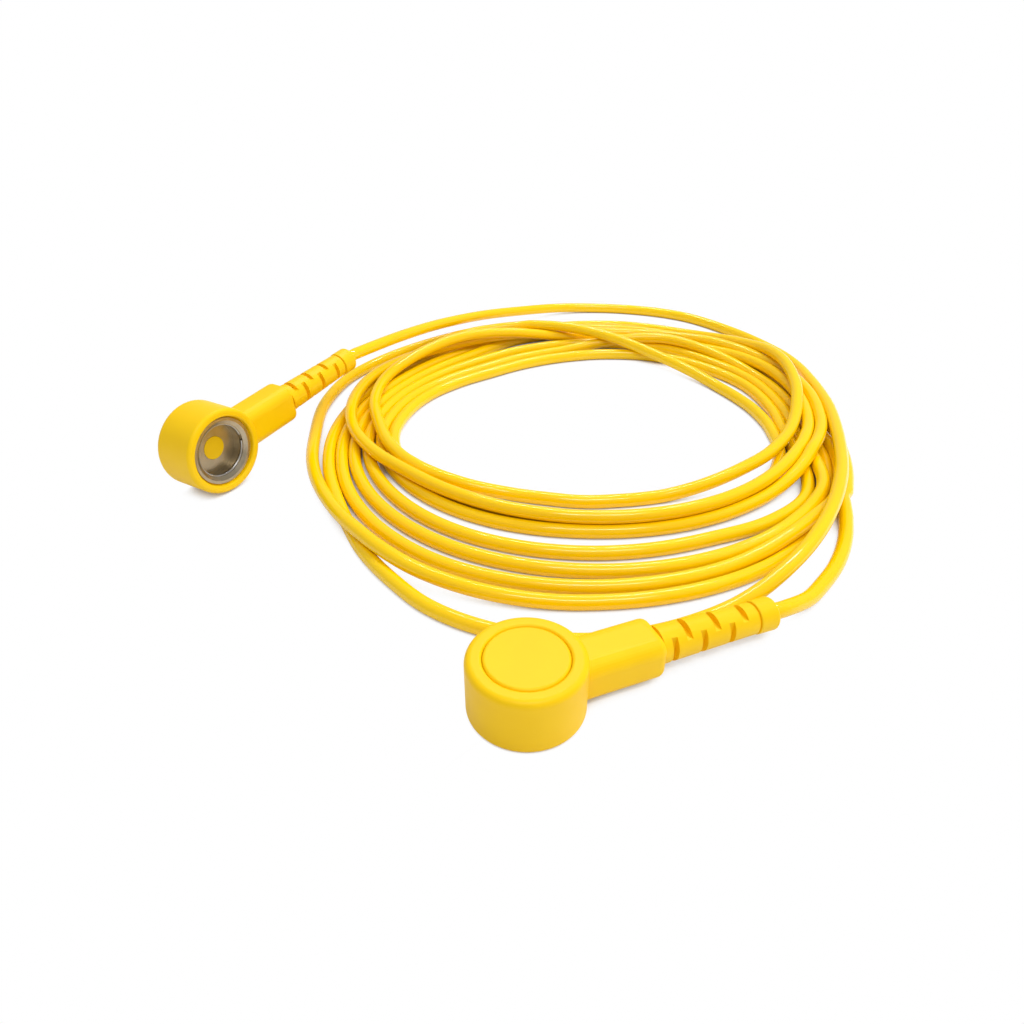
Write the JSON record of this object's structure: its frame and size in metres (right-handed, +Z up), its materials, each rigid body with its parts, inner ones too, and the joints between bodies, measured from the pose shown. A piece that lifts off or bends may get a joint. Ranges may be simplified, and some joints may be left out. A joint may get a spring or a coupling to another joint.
{
  "type": "wrist strap grounding lead",
  "caption": "Coiled round cord with a moulded snap socket plug and a slotted strain relief at each end, for grounding a wrist strap or mat.",
  "frame": {"origin": "middle of the near plug's mouth, on the surface that the lead lies on", "axes": "+Z up from the surface; +X to the right of the plugs and +Y from the near plug towards the coil's middle"},
  "size_m": [0.1505, 0.1779, 0.0183],
  "materials": {
    "moulding": "satin yellow soft PVC over-moulding",
    "inner_moulding": "yellow inner moulding",
    "cord_jacket": "glossy yellow soft PVC jacket",
    "nickel": "dull nickel-plated pressed brass",
    "spring_steel": "bright spring wire",
    "tinned_brass": "tin plate",
    "tinned_wire": "tinned copper wire",
    "resistor_body": "lacquered film resistor",
    "copper": "bare stranded copper"
  },
  "bodies": {
    "root": {"near_shell": "moulding", "near_cap": "moulding", "near_socket": "nickel", "near_spring": "spring_steel", "near_core": "inner_moulding", "near_tag": "tinned_brass", "near_resistor": "resistor_body", "near_lead_in": "tinned_wire", "near_lead_out": "tinned_wire", "near_ferrule": "tinned_brass", "near_conductor": "copper", "near_cord_end": "cord_jacket", "near_boot": "moulding", "far_shell": "moulding", "far_cap": "moulding", "far_socket": "nickel", "far_spring": "spring_steel", "far_core": "inner_moulding", "far_tag": "tinned_brass", "far_resistor": "resistor_body", "far_lead_in": "tinned_wire", "far_lead_out": "tinned_wire", "far_ferrule": "tinned_brass", "far_conductor": "copper", "far_cord_end": "cord_jacket", "far_boot": "moulding", "cord_coil": "cord_jacket", "cord_lead_near": "cord_jacket", "cord_lead_far": "cord_jacket"}
  },
  "joints": []
}
